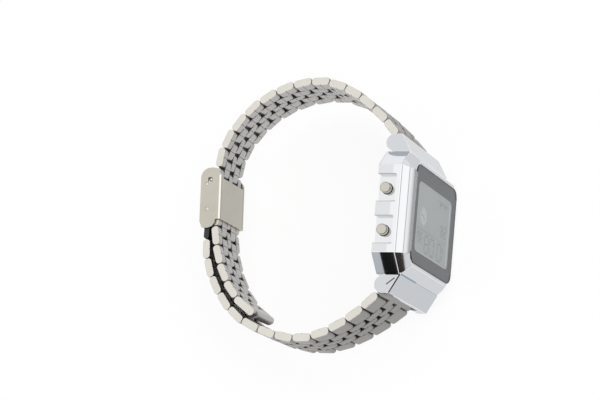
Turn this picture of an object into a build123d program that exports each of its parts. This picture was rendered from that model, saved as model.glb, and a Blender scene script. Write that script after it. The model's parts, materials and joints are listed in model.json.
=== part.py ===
# Digital wrist watch with a square metal case and a tapering five-row link band.
# The band is closed by a sliding clasp, and the free end of the long half lies inside the loop.
# Frame: +Z is the 3 o'clock side, +X the 6 o'clock end, and the face looks along -Y.
# The origin is the middle of the case back's outer face.

from math import cos, radians, sin
import os

from build123d import *

# Case
case_length = 38.9
case_width = 34.4
case_thick = 8.9
back_proud = 0.4
side_rise = 6.2
corner_cut = 4.4
lug_length = 4.45
lug_round = 2.1
hood_edge_rise = 3.95
hood_top_rise = 6.5
hood_thick = 0.9
bezel_end_slope = 2.2
bezel_side_slope = 3.0
bezel_corner_cut = 2.6

# Glass and its seat
rim_end_flat = 1.2
rim_side_flat = 0.9
glass_corner = 3.0
glass_thick = 0.7
glass_sink = 0.3
ledge_width = 0.8
ledge_thick = 0.4
fit_gap = 0.05

# Display
mask_thick = 0.6
mask_end = 3.3
mask_side = 3.9
window_corner = 1.2
display_margin = 0.7
display_thick = 1.1
light_thick = 0.3

# Inside the case
cavity_inset = 0.2
cavity_cut = 1.8
frame_thick = 3.0
board_thick = 0.8
battery_room = 1.4
battery_thick = 1.6
clamp_width = 6.0
clamp_thick = 0.15

# Case back and gasket
back_lap = 1.3
back_corner = 1.5
back_thick = 0.9
gasket_width = 0.7
gasket_thick = 0.5

# Push buttons
button_rise = 2.5
button_radius = 1.3
button_face_out = 0.3
button_cap_length = 2.5
button_travel = 0.7
button_gap = 0.1
button_edge = 0.2
stem_radius = 0.6
clip_half = 0.9
clip_thick = 0.4
recess_half_gap = 1.75
recess_end_gap = 2.2
recess_depth = 1.5
recess_height = 5.2

# Spring bars
bar_rise = 1.7
bar_from_end = 1.95
bar_radius = 0.75
bar_tip_radius = 0.4
bar_tip_length = 1.1
lug_wide = 3.7

# Band links
link_pitch = 5.0
link_thick = 2.0
link_reach = 1.1
link_corner = 0.42
centre_width = 2.1
inner_width = 2.9
row_gap = 0.08
pin_radius = 0.4
pin_sides = 6
joiner_thick = 0.8
run_gap = 0.05
band_over_lug = 1.1
band_half_clasp = 6.15
taper_power_share = 1.6
links_per_side = 13
end_link_length = 3.7
end_link_reach = 1.05

# Clasp
clasp_tilt = 4.0
clasp_link_length = 6.4
clasp_link_thick = 1.4
wall_thick = 0.6
wall_gap = 0.2
wall_back = 4.9
wall_top = 2.1
wall_bottom = 3.5
wall_back_round = 2.1
wall_front_round = 2.5
plate_thick = 0.5
mouth_reach = 9.75
mouth_lip = 0.85
plate_inset = 1.85
open_gap = 0.3
links_in_clasp = 3
bridge_inset = 1.2
bridge_width = 0.75
cover_pin_inset = 3.35
cover_pin_rise = 0.44
cover_pin_radius = 0.45
cover_thick = 0.55
cover_drop = 0.1
cover_back = 4.4
cover_over_pin = 0.5
ear_radius = 0.8
ear_thick = 0.8
lock_from_pin = 0.7
lock_width = 0.9
lock_thick = 0.48
lock_lift = 0.35
slot_margin = 0.15
clasp_pin_radius = 0.45
tail_bar_radius = 1.15
tail_rest_link = 8
tail_rest_gap = 0.52

# Headings of the band in degrees, chosen from the way the watch lies, one for each link.
upper_end_heading = 18.0
upper_headings = [39, 45, 50, 59, 69, 86, 97, 108, 119, 131, 141, 155, 170]
lower_end_heading = 131.0
lower_headings = [130, 124, 117, 107, 91, 79, 71, 64, 50, 38, 30, 19, 6]
clasp_link_heading = 0.8
tail_headings = [192, 200, 209, 220, 234]

os.makedirs("parts", exist_ok=True)

# Places that follow from the sizes above
half_length = case_length / 2
half_width = case_width / 2
body_half = half_length - lug_length
side_half = body_half - corner_cut
glass_length = 2 * (body_half - bezel_end_slope - rim_end_flat)
glass_width = 2 * (half_width - bezel_side_slope - rim_side_flat)
window_length = glass_length - 2 * mask_end
window_width = glass_width - 2 * mask_side
cavity_length = glass_length - 2 * cavity_inset
cavity_width = glass_width - 2 * cavity_inset
back_length = cavity_length + 2 * back_lap
back_width = cavity_width + 2 * back_lap
battery_radius = min(cavity_length, cavity_width) / 2 - battery_room
recess_length = side_half - recess_half_gap - recess_end_gap
button_offset = recess_half_gap + recess_length / 2
half_pitch = link_pitch / 2
piece_length = half_pitch + 2 * link_reach
outer_inside = centre_width / 2 + row_gap + inner_width + row_gap
inner_start = centre_width / 2 + row_gap
lug_half = half_width - corner_cut
lug_gap_half = lug_half - lug_wide
band_half_case = lug_gap_half + band_over_lug
cavity_top = case_thick - glass_sink - glass_thick - mask_thick - ledge_thick
clasp_half_inside = band_half_clasp + wall_gap
clasp_half = clasp_half_inside + wall_thick
wall_front = mouth_reach + mouth_lip
plate_front = mouth_reach - plate_inset
bridge_back = mouth_reach - bridge_inset
cover_pin_reach = mouth_reach - cover_pin_inset
lock_middle = cover_pin_reach + lock_from_pin + lock_width / 2


def save(part, name):
    # Labels a finished piece and writes it under its own name.
    part.label = name
    export_step(part, f"parts/{name}.step")


def step_from(point, heading, length):
    # The point that lies a length away along a heading.
    angle = radians(heading)
    return (point[0] + length * cos(angle), point[1] + length * sin(angle))


def side_plane(point, heading, height):
    # A plane square to the hinge pins, with its x direction along the band.
    angle = radians(heading)
    return Plane(origin=(point[0], point[1], height), x_dir=(cos(angle), sin(angle), 0), z_dir=(0, 0, 1))


def band_half(count):
    # Half the band's width after a number of links from the case.
    left_share = max(0.0, 1 - count / links_per_side)
    return band_half_clasp + (band_half_case - band_half_clasp) * left_share**taper_power_share


def chain(start, headings):
    # The hinge places of a run of links.
    places = [start]
    for heading in headings:
        places.append(step_from(places[-1], heading, link_pitch))
    return places


def front_plane(rise):
    # A plane parallel to the face, a height above the back, that looks out of the face.
    return Plane(origin=(0, -rise, 0), x_dir=(1, 0, 0), z_dir=(0, -1, 0))


# Band route: the lower half runs from the case to the clasp, the upper half into its mouth.
upper_bar = (half_length - bar_from_end, -bar_rise)
lower_bar = (bar_from_end - half_length, -bar_rise)
lower_start = step_from(lower_bar, lower_end_heading, end_link_length)
lower_places = chain(lower_start, lower_headings)
clasp_pivot = step_from(lower_places[-1], clasp_link_heading, clasp_link_length)
strap_drop = wall_bottom - plate_thick - run_gap - link_thick / 2
mouth = step_from(step_from(clasp_pivot, clasp_tilt, mouth_reach), clasp_tilt - 90, strap_drop)


def bent_route(start, headings, turn, spread):
    # A run of links with every heading turned, and a further turn that grows along it.
    bent = []
    for index, heading in enumerate(headings):
        bent.append(heading + turn + spread * index / len(headings))
    return bent, chain(start, bent)


# The upper half's bends are adjusted until its last pin place meets the mouth of the clasp.
upper_start = step_from(upper_bar, upper_end_heading, end_link_length)
turn = 0.0
spread = 0.0
trial = 0.01
for attempt in range(12):
    end = bent_route(upper_start, upper_headings, turn, spread)[1][-1]
    end_turn = bent_route(upper_start, upper_headings, turn + trial, spread)[1][-1]
    end_spread = bent_route(upper_start, upper_headings, turn, spread + trial)[1][-1]
    a = (end_turn[0] - end[0]) / trial
    b = (end_spread[0] - end[0]) / trial
    c = (end_turn[1] - end[1]) / trial
    d = (end_spread[1] - end[1]) / trial
    miss_x = mouth[0] - end[0]
    miss_y = mouth[1] - end[1]
    determinant = a * d - b * c
    turn += (d * miss_x - b * miss_y) / determinant
    spread += (a * miss_y - c * miss_x) / determinant
upper_headings_closed, upper_places = bent_route(upper_start, upper_headings, turn, spread)

# The rest of the long half: three links inside the clasp, then the free end inside the loop. The
# pin at the clasp's mouth is left out, which opens the closed loop there.
inside_start = step_from(mouth, clasp_tilt + 180, open_gap)
inside_headings = [clasp_tilt + 180] * links_in_clasp
free_start = chain(inside_start, inside_headings)[-1]


def free_end_inset(turn):
    # How far inside one lower link the bar of the free end lies, with the free end turned.
    end = bent_route(free_start, tail_headings, turn, 0)[1][-1]
    rest = lower_places[tail_rest_link - 1]
    angle = radians(lower_headings[tail_rest_link - 1])
    return (end[0] - rest[0]) * sin(angle) - (end[1] - rest[1]) * cos(angle)


# The free end is turned until its bar stops short of that link's inner side.
rest_inset = link_thick / 2 + tail_rest_gap + tail_bar_radius
free_turn = 0.0
for attempt in range(12):
    inset = free_end_inset(free_turn)
    free_turn += (rest_inset - inset) * trial / (free_end_inset(free_turn + trial) - inset)
tail_route = inside_headings + bent_route(free_start, tail_headings, free_turn, 0)[0]
tail_places = chain(inside_start, tail_route)


def cut_rectangle(length, width):
    # The outline of a hidden space or piece inside the case, with its corners cut.
    with BuildSketch(mode=Mode.PRIVATE) as shape:
        Rectangle(length, width)
        chamfer(shape.vertices(), cavity_cut)
    return shape.sketch


def narrow_hole(radius, mode=Mode.ADD):
    # A hidden hole for a thin pin. There are many, so pins and holes have few sides, and the
    # hole's flats clear the pin by the running gap.
    RegularPolygon(radius + run_gap, pin_sides, major_radius=False, mode=mode)


# Case
bar_spot = half_length - bar_from_end
with BuildPart() as case:
    with BuildSketch(front_plane(back_proud)) as body:
        Rectangle(2 * body_half, case_width)
        chamfer(body.vertices(), corner_cut)
    extrude(amount=side_rise - back_proud)
    for rise, ends, sides, cut in (
        (side_rise, body_half, half_width, corner_cut),
        (case_thick, body_half - bezel_end_slope, half_width - bezel_side_slope, bezel_corner_cut),
    ):
        with BuildSketch(front_plane(rise)) as level:
            Rectangle(2 * ends, 2 * sides)
            chamfer(level.vertices(), cut)
    loft(ruled=True)
    # Hood and lugs at the 6 o'clock end, copied to the other end
    with BuildSketch(Plane.XY.offset(-lug_half)) as lug_side:
        with BuildLine():
            Polyline(
                (side_half, -back_proud), (side_half, -hood_top_rise), (body_half, -hood_top_rise),
                (half_length, -hood_edge_rise), (half_length, -lug_round),
                (body_half, -lug_round), (body_half, -back_proud), close=True,
            )
        make_face()
        with Locations((half_length - lug_round, -lug_round)):
            Circle(lug_round)
    extrude(amount=2 * lug_half)
    mirror(about=Plane.YZ)
    # Gap for the band's end links between the lugs, under the hoods
    with BuildSketch(Plane.XY.offset(-lug_gap_half)) as band_gap:
        with BuildLine():
            Polyline(
                (body_half, 0), (body_half, 2 * hood_thick - hood_top_rise),
                (half_length, hood_thick - hood_edge_rise),
                (half_length + lug_round, hood_thick - hood_edge_rise), (half_length + lug_round, 0),
                close=True,
            )
        make_face()
    gap_solid = extrude(amount=2 * lug_gap_half, mode=Mode.SUBTRACT)
    mirror(gap_solid, about=Plane.YZ, mode=Mode.SUBTRACT)
    # Holes for the spring bars' tips
    with BuildSketch(Plane.XY.offset(-lug_gap_half - bar_tip_length)):
        with Locations((bar_spot, -bar_rise), (-bar_spot, -bar_rise)):
            narrow_hole(bar_tip_radius)
    extrude(amount=2 * (lug_gap_half + bar_tip_length), mode=Mode.SUBTRACT)
    # Seat of the glass, ledge and the space for the works
    with BuildSketch(front_plane(case_thick)):
        RectangleRounded(glass_length, glass_width, glass_corner)
    extrude(amount=-(glass_sink + glass_thick + mask_thick), mode=Mode.SUBTRACT)
    with BuildSketch(front_plane(case_thick)):
        add(cut_rectangle(glass_length - 2 * ledge_width, glass_width - 2 * ledge_width))
    extrude(amount=-case_thick, mode=Mode.SUBTRACT)
    with BuildSketch(front_plane(0)):
        add(cut_rectangle(cavity_length, cavity_width))
    extrude(amount=cavity_top, mode=Mode.SUBTRACT)
    # Seat of the case back and the gasket's groove
    with BuildSketch(front_plane(0)):
        RectangleRounded(back_length + 2 * fit_gap, back_width + 2 * fit_gap, back_corner)
    extrude(amount=back_thick, mode=Mode.SUBTRACT)
    with BuildSketch(front_plane(back_thick)):
        add(cut_rectangle(cavity_length + 2 * gasket_width, cavity_width + 2 * gasket_width))
    extrude(amount=gasket_thick, mode=Mode.SUBTRACT)
    # Recesses along both sides, with a bore and a counterbore for each button
    recess_middle = recess_half_gap + recess_length / 2
    for side in (1, -1):
        floor_plane = Plane(origin=(0, 0, side * (half_width - recess_depth)), x_dir=(1, 0, 0), z_dir=(0, 0, side))
        with BuildSketch(floor_plane):
            with Locations((recess_middle, -side * recess_height / 2), (-recess_middle, -side * recess_height / 2)):
                Rectangle(recess_length, recess_height)
        extrude(amount=recess_depth, mode=Mode.SUBTRACT)
        with BuildSketch(floor_plane):
            with Locations((button_offset, -side * button_rise), (-button_offset, -side * button_rise)):
                narrow_hole(stem_radius)
        extrude(amount=-half_width / 2, mode=Mode.SUBTRACT)
        with BuildSketch(floor_plane):
            with Locations((button_offset, -side * button_rise), (-button_offset, -side * button_rise)):
                Circle(button_radius + button_gap)
        bore_depth = button_cap_length + button_travel - button_face_out - recess_depth + button_gap
        extrude(amount=-bore_depth, mode=Mode.SUBTRACT)
save(case.part, "case")

# Glass
with BuildPart() as crystal:
    with BuildSketch(front_plane(case_thick - glass_sink - glass_thick)):
        RectangleRounded(glass_length - 2 * fit_gap, glass_width - 2 * fit_gap, glass_corner - fit_gap)
    extrude(amount=glass_thick)
save(crystal.part, "crystal")

# Dark printed frame under the glass, with the display's window
mask_bottom = case_thick - glass_sink - glass_thick - mask_thick
with BuildPart() as dial_frame:
    with BuildSketch(front_plane(mask_bottom)):
        RectangleRounded(glass_length - 2 * fit_gap, glass_width - 2 * fit_gap, glass_corner - fit_gap)
        RectangleRounded(window_length, window_width, window_corner, mode=Mode.SUBTRACT)
    extrude(amount=mask_thick)
save(dial_frame.part, "dial_frame")

# Display panel and the light panel behind it
display_length = window_length + 2 * display_margin
display_width = window_width + 2 * display_margin
display_bottom = mask_bottom - fit_gap - display_thick
with BuildPart() as lcd_panel:
    with BuildSketch(front_plane(display_bottom)):
        Rectangle(display_length, display_width)
    extrude(amount=display_thick)
save(lcd_panel.part, "lcd_panel")

light_bottom = display_bottom - light_thick
with BuildPart() as light_panel:
    with BuildSketch(front_plane(light_bottom)):
        Rectangle(display_length, display_width)
    extrude(amount=light_thick)
save(light_panel.part, "light_panel")

# Frame of the works: a tray for the display
frame_top = cavity_top - fit_gap
frame_bottom = frame_top - frame_thick
clip_inside = cavity_width / 2 - fit_gap - clip_thick - button_travel
with BuildPart() as module_frame:
    with BuildSketch(front_plane(frame_bottom)):
        add(cut_rectangle(cavity_length - 4 * fit_gap, cavity_width - 4 * fit_gap))
    extrude(amount=frame_thick)
    with BuildSketch(front_plane(light_bottom - fit_gap)):
        Rectangle(display_length + 2 * fit_gap, display_width + 2 * fit_gap)
    extrude(amount=case_thick, mode=Mode.SUBTRACT)
save(module_frame.part, "module_frame")

# Circuit board, battery and clamp
board_bottom = frame_bottom - board_thick
board_width = 2 * (clip_inside - button_gap)
with BuildPart() as circuit_board:
    with BuildSketch(front_plane(board_bottom)):
        add(cut_rectangle(cavity_length - 4 * fit_gap, board_width))
    extrude(amount=board_thick)
save(circuit_board.part, "circuit_board")

battery_bottom = back_thick + 2 * clamp_thick
with BuildPart() as battery:
    with BuildSketch(front_plane(battery_bottom)):
        Circle(battery_radius)
    extrude(amount=battery_thick)
save(battery.part, "battery")

clamp_reach = battery_radius + clamp_thick
with BuildPart() as battery_clamp:
    with BuildSketch(Plane.XY.offset(-clamp_width / 2)):
        with BuildLine():
            Polyline(
                (-clamp_reach, -board_bottom), (-clamp_reach, -back_thick - clamp_thick),
                (clamp_reach, -back_thick - clamp_thick), (clamp_reach, -board_bottom),
                (battery_radius, -board_bottom), (battery_radius, -battery_bottom),
                (-battery_radius, -battery_bottom), (-battery_radius, -board_bottom), close=True,
            )
        make_face()
    extrude(amount=clamp_width)
save(battery_clamp.part, "battery_clamp")

# Case back and gasket
with BuildPart() as case_back:
    with BuildSketch(front_plane(0)):
        RectangleRounded(back_length, back_width, back_corner)
    extrude(amount=back_thick)
save(case_back.part, "case_back")

with BuildPart() as back_gasket:
    with BuildSketch(front_plane(back_thick)):
        gasket_out = gasket_width - fit_gap
        add(cut_rectangle(cavity_length + 2 * gasket_out, cavity_width + 2 * gasket_out))
        add(cut_rectangle(cavity_length, cavity_width), mode=Mode.SUBTRACT)
    extrude(amount=gasket_thick)
save(back_gasket.part, "back_gasket")

# Four push buttons: cap, stem and the clip that holds each one in
button_out = half_width + button_face_out
cap_bottom = button_out - button_cap_length
clip_bottom = cavity_width / 2 - fit_gap - clip_thick


def push_button(along, side):
    # One button turned about its own stem, on the given side of the case.
    axis_plane = Plane(origin=(along, -button_rise, 0), x_dir=(1, 0, 0), z_dir=(0, -side, 0))
    with BuildPart() as button:
        with BuildSketch(axis_plane):
            with BuildLine():
                Polyline(
                    (0, cap_bottom), (button_radius, cap_bottom), (button_radius, button_out - button_edge),
                    (button_radius - button_edge, button_out), (0, button_out), close=True,
                )
            make_face()
        revolve(axis=Axis((along, -button_rise, 0), (0, 0, 1)))
        inner_plane = Plane(origin=(along, -button_rise, side * clip_bottom), x_dir=(1, 0, 0), z_dir=(0, 0, side))
        with BuildSketch(inner_plane):
            RegularPolygon(stem_radius, pin_sides)
        extrude(amount=cap_bottom - clip_bottom)
        with BuildSketch(inner_plane):
            Rectangle(2 * clip_half, 2 * clip_half)
        extrude(amount=clip_thick)
    return button.part


for name, along, side in (
    ("button_upper_right", -button_offset, 1),
    ("button_lower_right", button_offset, 1),
    ("button_upper_left", -button_offset, -1),
    ("button_lower_left", button_offset, -1),
):
    save(push_button(along, side), name)

# Spring bars
for name, spot in (("spring_bar_6", upper_bar), ("spring_bar_12", lower_bar)):
    with BuildPart() as spring_bar:
        bar_half = lug_gap_half - fit_gap
        with BuildSketch(Plane.XY.offset(-bar_half)):
            with Locations(spot):
                Circle(bar_radius)
        extrude(amount=2 * bar_half)
        tip_half = lug_gap_half + bar_tip_length - fit_gap
        with BuildSketch(Plane.XY.offset(-tip_half)):
            with Locations(spot):
                RegularPolygon(bar_tip_radius, pin_sides)
        extrude(amount=2 * tip_half)
    save(spring_bar.part, name)


def outline(start, end, thick):
    # A link piece seen from the side: a bar with its corners cut.
    with BuildSketch(mode=Mode.PRIVATE) as piece:
        with Locations(((start + end) / 2, 0)):
            Rectangle(end - start, thick)
        chamfer(piece.vertices(), link_corner)
    return piece.sketch


def end_link(spot, heading):
    # The block that turns on a spring bar, with two fingers for the first link's pin.
    block_end = end_link_length - link_reach - 2 * row_gap
    block_half = lug_gap_half - 2 * row_gap
    with BuildPart() as link:
        with BuildSketch(side_plane(spot, heading, -block_half)):
            add(outline(-end_link_reach, block_end, link_thick))
            Circle(bar_radius + run_gap, mode=Mode.SUBTRACT)
        extrude(amount=2 * block_half)
        for height in (inner_start, -inner_start - inner_width):
            with BuildSketch(side_plane(spot, heading, height)):
                add(outline(block_end / 2, end_link_length + link_reach, link_thick))
                with Locations((end_link_length, 0)):
                    narrow_hole(pin_radius, Mode.SUBTRACT)
            extrude(amount=inner_width)
    return link.part


def band_link(spot, heading, half_start, half_end, pinned=True, last=False):
    # One link: two outer pieces and a centre piece on its own pin, and two inner pieces between
    # them that reach on to the next link's pin. A second pin, drawn square, holds the pieces
    # together. The last link ends in a full-width bar instead.
    with BuildPart() as link:
        with BuildSketch(side_plane(spot, heading, outer_inside)):
            add(outline(-link_reach, half_pitch + link_reach, link_thick))
        extrude(amount=half_start - outer_inside)
        corner = step_from(spot, heading, -link_reach)
        lean = half_start - half_end
        angle = radians(heading)
        normal = (lean * cos(angle), lean * sin(angle), piece_length)
        if lean > 0:
            split(bisect_by=Plane(origin=(corner[0], corner[1], half_start), z_dir=normal), keep=Keep.BOTTOM)
        if not last:
            with BuildSketch(side_plane(spot, heading, inner_start)):
                add(outline(half_pitch - link_reach, link_pitch + link_reach, link_thick))
                with Locations((link_pitch, 0)):
                    narrow_hole(pin_radius, Mode.SUBTRACT)
            extrude(amount=inner_width)
        mirror(about=Plane.XY)
        with BuildSketch(side_plane(spot, heading, -centre_width / 2)):
            add(outline(-link_reach, half_pitch + link_reach, link_thick))
        extrude(amount=centre_width)
        with BuildSketch(side_plane(spot, heading, -outer_inside)):
            if pinned:
                RegularPolygon(pin_radius, pin_sides)
            if last:
                add(outline(half_pitch - link_reach, link_pitch, link_thick))
            else:
                with Locations((half_pitch, 0)):
                    Rectangle(joiner_thick, joiner_thick)
        extrude(amount=2 * outer_inside)
        if last:
            with BuildSketch(side_plane(spot, heading, -half_start)):
                with Locations((link_pitch, 0)):
                    Circle(tail_bar_radius)
            extrude(amount=2 * half_start)
    return link.part


# End links at the case, and the two halves of the band
save(end_link(upper_bar, upper_end_heading), "end_link_6")
save(end_link(lower_bar, lower_end_heading), "end_link_12")
for index in range(links_per_side):
    half_start = band_half(index)
    half_end = band_half(index + 1)
    upper_link = band_link(upper_places[index], upper_headings_closed[index], half_start, half_end)
    save(upper_link, f"upper_link_{index + 1:02d}")
    lower_link = band_link(lower_places[index], lower_headings[index], half_start, half_end)
    save(lower_link, f"lower_link_{index + 1:02d}")

# The links inside the clasp and those of the free end, the last with its bar
for index, heading in enumerate(tail_route):
    tail_link = band_link(
        tail_places[index], heading, band_half_clasp, band_half_clasp,
        pinned=index > 0, last=heading == tail_route[-1],
    )
    save(tail_link, f"upper_link_{links_per_side + index + 1:02d}")


def clasp_plane(height):
    # The clasp's own side plane: x runs from the pivot to the mouth, y runs outwards.
    return side_plane(clasp_pivot, clasp_tilt, height)


# Clasp link: prongs around the last lower link's fingers, and an eye on the clasp's pivot pin
prong_half = clasp_half_inside - 2 * row_gap
with BuildPart() as clasp_link:
    block_start = link_reach + 2 * row_gap
    with BuildSketch(side_plane(lower_places[-1], clasp_link_heading, -prong_half)):
        add(outline(block_start, clasp_link_length, clasp_link_thick))
        with Locations((clasp_link_length, 0)):
            Circle(clasp_pin_radius + run_gap + clasp_pin_radius)
            narrow_hole(clasp_pin_radius, Mode.SUBTRACT)
    extrude(amount=2 * prong_half)
    for height, width in (
        (-prong_half, prong_half - outer_inside),
        (-centre_width / 2, centre_width),
        (outer_inside, prong_half - outer_inside),
    ):
        with BuildSketch(side_plane(lower_places[-1], clasp_link_heading, height)):
            add(outline(-link_reach, 2 * block_start, clasp_link_thick))
        extrude(amount=width)
    with BuildSketch(side_plane(lower_places[-1], clasp_link_heading, -outer_inside)):
        RegularPolygon(pin_radius, pin_sides)
    extrude(amount=2 * outer_inside)
save(clasp_link.part, "clasp_link")

# Clasp body: two side walls folded up from a plate on the wrist side, and a bridge at the mouth
wall_eye = wall_back - wall_back_round
lock_bottom = run_gap + link_thick / 2 - strap_drop
with BuildPart() as clasp_body:
    with BuildSketch(clasp_plane(clasp_half_inside)) as wall:
        with Locations(((wall_front - wall_eye) / 2, (wall_top - wall_bottom) / 2)):
            Rectangle(wall_front + wall_eye, wall_top + wall_bottom)
        fillet(wall.vertices().group_by(Axis.X)[-1], wall_front_round)
        with Locations((-wall_eye, 0)):
            Circle(wall_back_round)
        with Locations((0, 0)):
            Circle(clasp_pin_radius + fit_gap, mode=Mode.SUBTRACT)
        with Locations((cover_pin_reach, cover_pin_rise)):
            Circle(cover_pin_radius + fit_gap, mode=Mode.SUBTRACT)
        with Locations((lock_middle, lock_bottom + (lock_thick + lock_lift) / 2)):
            Rectangle(lock_width + 2 * slot_margin, lock_thick + lock_lift + 2 * slot_margin, mode=Mode.SUBTRACT)
    extrude(amount=wall_thick)
    mirror(about=Plane.XY)
    with BuildSketch(clasp_plane(-clasp_half_inside)):
        with Locations(((plate_front - wall_eye) / 2, plate_thick / 2 - wall_bottom)):
            Rectangle(plate_front + wall_eye, plate_thick)
        with Locations((bridge_back + bridge_width / 2, wall_top - cover_thick / 2)):
            Rectangle(bridge_width, cover_thick)
    extrude(amount=2 * clasp_half_inside)
save(clasp_body.part, "clasp_body")

# The two flush pins through the clasp's walls
with BuildPart() as clasp_pins:
    with BuildSketch(clasp_plane(-clasp_half)):
        Circle(clasp_pin_radius)
        with Locations((cover_pin_reach, cover_pin_rise)):
            Circle(cover_pin_radius)
    extrude(amount=2 * clasp_half)
save(clasp_pins.part, "clasp_pins")

# Cover lever, which turns on the pin near the mouth
cover_half = clasp_half_inside - row_gap
cover_inside = wall_top - cover_drop - cover_thick
cover_end = cover_pin_reach + cover_over_pin
with BuildPart() as clasp_cover:
    with BuildSketch(clasp_plane(-cover_half)):
        with Locations(((cover_end - cover_back) / 2, cover_inside + cover_thick / 2)):
            Rectangle(cover_end + cover_back, cover_thick)
    extrude(amount=2 * cover_half)
    with BuildSketch(clasp_plane(cover_half - ear_thick)):
        with Locations((cover_pin_reach, cover_pin_rise)):
            Circle(ear_radius)
        with Locations((cover_pin_reach, (cover_pin_rise + cover_inside) / 2)):
            Rectangle(2 * cover_over_pin, cover_inside - cover_pin_rise)
        with Locations((cover_pin_reach, cover_pin_rise)):
            narrow_hole(cover_pin_radius, Mode.SUBTRACT)
    ear = extrude(amount=ear_thick)
    mirror(ear, about=Plane.XY)
save(clasp_cover.part, "clasp_cover")

# Lock bar across the band, with a tab in each wall's slot
with BuildPart() as lock_bar:
    with BuildSketch(clasp_plane(-clasp_half + fit_gap)):
        with Locations((lock_middle, lock_bottom + lock_thick / 2)):
            Rectangle(lock_width, lock_thick)
    extrude(amount=2 * (clasp_half - fit_gap))
save(lock_bar.part, "lock_bar")

# Hinge places, for whoever joins the pieces
print("place end_link_6", upper_bar[0], upper_bar[1], upper_end_heading)
print("place end_link_12", lower_bar[0], lower_bar[1], lower_end_heading)
for index in range(links_per_side):
    spot = upper_places[index]
    print(f"place upper_link_{index + 1:02d}", spot[0], spot[1], upper_headings_closed[index])
    spot = lower_places[index]
    print(f"place lower_link_{index + 1:02d}", spot[0], spot[1], lower_headings[index])
for index, heading in enumerate(tail_route):
    spot = tail_places[index]
    print(f"place upper_link_{links_per_side + index + 1:02d}", spot[0], spot[1], heading)
cover_spot = step_from(step_from(clasp_pivot, clasp_tilt, cover_pin_reach), clasp_tilt + 90, cover_pin_rise)
print("place clasp_link", lower_places[-1][0], lower_places[-1][1], clasp_link_heading)
print("place clasp_body", clasp_pivot[0], clasp_pivot[1], clasp_tilt)
print("place clasp_cover", cover_spot[0], cover_spot[1], clasp_tilt)
print("turn of the upper half", turn, "and spread", spread, "and turn of the free end", free_turn)
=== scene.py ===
import json
from math import atan2, cos, pi, radians, sin
from random import Random

import bmesh
import bpy
from mathutils import Matrix, Vector

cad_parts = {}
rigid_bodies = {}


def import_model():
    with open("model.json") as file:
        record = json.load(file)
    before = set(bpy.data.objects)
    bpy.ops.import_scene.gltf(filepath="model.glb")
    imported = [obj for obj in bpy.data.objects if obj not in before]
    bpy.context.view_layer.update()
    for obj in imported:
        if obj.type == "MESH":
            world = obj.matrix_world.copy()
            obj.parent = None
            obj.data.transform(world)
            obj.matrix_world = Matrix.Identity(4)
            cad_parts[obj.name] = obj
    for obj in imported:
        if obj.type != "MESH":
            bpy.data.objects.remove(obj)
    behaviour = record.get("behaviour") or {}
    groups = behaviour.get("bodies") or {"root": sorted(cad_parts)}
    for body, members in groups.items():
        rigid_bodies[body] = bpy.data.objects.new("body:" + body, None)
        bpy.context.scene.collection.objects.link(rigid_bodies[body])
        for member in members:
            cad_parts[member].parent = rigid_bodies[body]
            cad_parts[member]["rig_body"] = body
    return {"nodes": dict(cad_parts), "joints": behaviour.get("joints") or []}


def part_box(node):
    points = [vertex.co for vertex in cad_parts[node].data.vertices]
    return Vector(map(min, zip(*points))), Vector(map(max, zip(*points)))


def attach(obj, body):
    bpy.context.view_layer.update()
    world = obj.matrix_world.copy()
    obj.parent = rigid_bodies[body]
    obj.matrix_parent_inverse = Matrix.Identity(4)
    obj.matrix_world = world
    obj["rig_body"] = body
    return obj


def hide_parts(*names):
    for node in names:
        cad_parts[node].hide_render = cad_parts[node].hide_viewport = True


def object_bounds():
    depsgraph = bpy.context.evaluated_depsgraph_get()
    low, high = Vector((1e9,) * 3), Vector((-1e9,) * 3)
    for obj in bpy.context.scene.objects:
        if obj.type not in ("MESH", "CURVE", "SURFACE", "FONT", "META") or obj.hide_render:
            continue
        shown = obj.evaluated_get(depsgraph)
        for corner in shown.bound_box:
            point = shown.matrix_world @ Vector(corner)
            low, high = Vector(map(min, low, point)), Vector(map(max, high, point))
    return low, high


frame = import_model()
cad_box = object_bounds()

# CASE
# The body of the watch: a zinc casting, polished and plated bright, with cut corners, a sloping
# bezel, hoods over the band's ends and rounded lugs. Its edges are broken by the polishing wheel.
MM = 0.001
WELD = 0.0005 * MM
CASE_EDGE = 0.22 * MM
CASE_COLOUR = (0.600, 0.612, 0.635)
# The hoods are painted a cooler, darker grey: painted shade
HOOD_SHADE_COLOUR = (0.520, 0.538, 0.566)
CROWN_RISE = 7.7 * MM
CROWN_STEP = 0.098 * MM


def joins(operation, swapped=False):
    # A wire's method that makes the math node of one operation.
    def join(self, other):
        return self.owner.math(operation, *((other, self) if swapped else (self, other)))
    return join


class Wire:
    """A node's output, which takes part in sums like a number."""

    __add__, __radd__ = joins("ADD"), joins("ADD", True)
    __sub__, __rsub__ = joins("SUBTRACT"), joins("SUBTRACT", True)
    __mul__, __rmul__ = joins("MULTIPLY"), joins("MULTIPLY", True)
    __truediv__ = joins("DIVIDE")
    __gt__, __lt__ = joins("GREATER_THAN"), joins("LESS_THAN")

    def __init__(self, owner, socket):
        self.owner = owner
        self.socket = socket

    def beside(self, name):
        # Another output of the same node.
        return Wire(self.owner, self.socket.node.outputs[name])


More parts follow.
